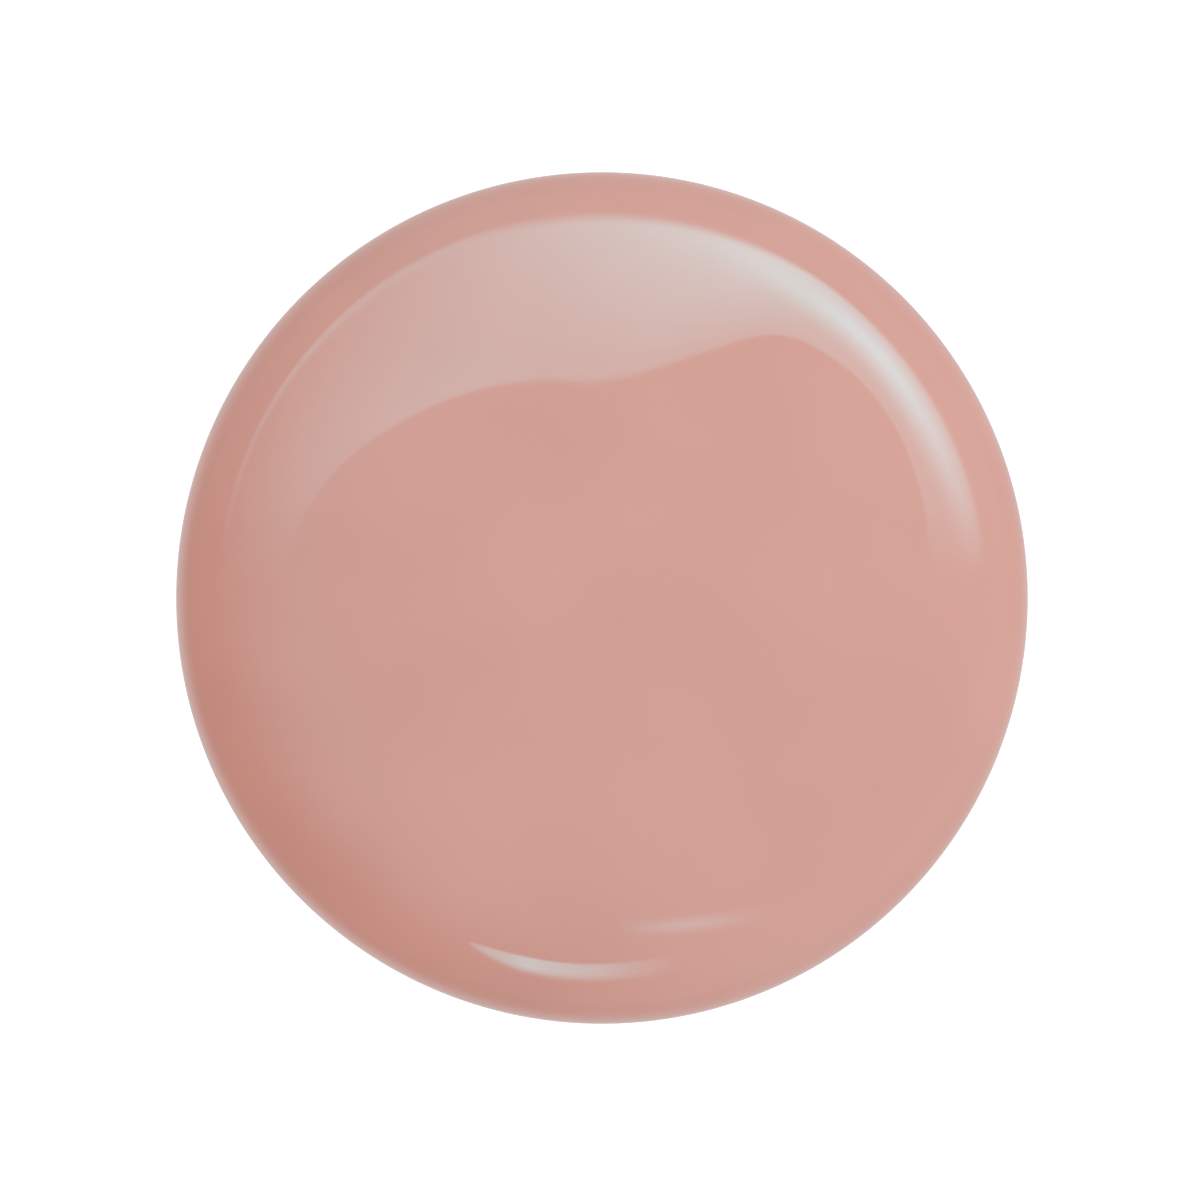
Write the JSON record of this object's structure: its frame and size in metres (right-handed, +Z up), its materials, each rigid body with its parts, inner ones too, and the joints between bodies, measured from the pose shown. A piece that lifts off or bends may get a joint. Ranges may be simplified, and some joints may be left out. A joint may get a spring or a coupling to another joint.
{
  "type": "nail polish bottle",
  "caption": "Round glass nail polish bottle with a brush on a screw cap, under a wide domed pull-off overcap in the colour of its polish.",
  "frame": {"origin": "centre of the ring that the bottle stands on, in the plane of that ring", "axes": "+Z up the bottle's axis, towards the overcap's dome; the neck thread starts on the +X side"},
  "size_m": [0.03, 0.03, 0.064],
  "materials": {
    "clear_glass": "clear, fire-polished",
    "rose_polish": "opaque cream lacquer, wet",
    "rose_lacquer": "high-gloss lacquer over moulded plastic",
    "label_paper": "blank coated paper",
    "ball_steel": "polished stainless steel",
    "staple_wire": "drawn wire",
    "weight_steel": "tumbled zinc-plated steel",
    "natural_polythene": "unpigmented polythene",
    "foam_washer": "soft foamed polythene",
    "black_plastic": "fine satin moulding",
    "grey_plastic": "unpainted moulding",
    "nylon_filament": "fine nylon filaments"
  },
  "bodies": {
    "bottle": {"glass_bottle": "clear_glass", "polish_fill": "rose_polish", "base_label": "label_paper", "neck_plug": "natural_polythene"},
    "mixing_balls": {"mixing_ball_1": "ball_steel", "mixing_ball_2": "ball_steel"},
    "washer": {"seal_washer": "foam_washer"},
    "brush": {"brush_rod": "black_plastic", "brush_staple": "staple_wire", "brush_tuft": "nylon_filament"},
    "cap": {"screw_cap": "black_plastic"},
    "overcap": {"overcap_liner": "grey_plastic", "overcap_weight": "weight_steel", "overcap_sleeve": "rose_lacquer", "overcap_dome": "rose_lacquer"}
  },
  "joints": [
    {"name": "wand_lift", "type": "slide", "parent": "bottle", "child": "washer", "axis": [0, 0, 1], "range_m": [0, 0.045]},
    {"name": "cap_rise", "type": "slide", "parent": "washer", "child": "brush", "axis": [0, 0, 1], "range_m": [0, 0.0032]},
    {"name": "cap_twist", "type": "hinge", "parent": "brush", "child": "cap", "pos_m": [0, 0, 0], "axis": [0, 0, 1], "range_deg": [0, 540]},
    {"name": "overcap_pull", "type": "slide", "parent": "cap", "child": "overcap", "axis": [0, 0, 1], "range_m": [0, 0.03]},
    {"name": "ball_roll", "type": "hinge", "parent": "bottle", "child": "mixing_balls", "pos_m": [0, 0, 0], "axis": [0, 0, 1], "continuous": true}
  ],
  "couplings": [
    {"joint": "cap_rise", "follows": "cap_twist", "m_per_rad": 0.00033741}
  ]
}
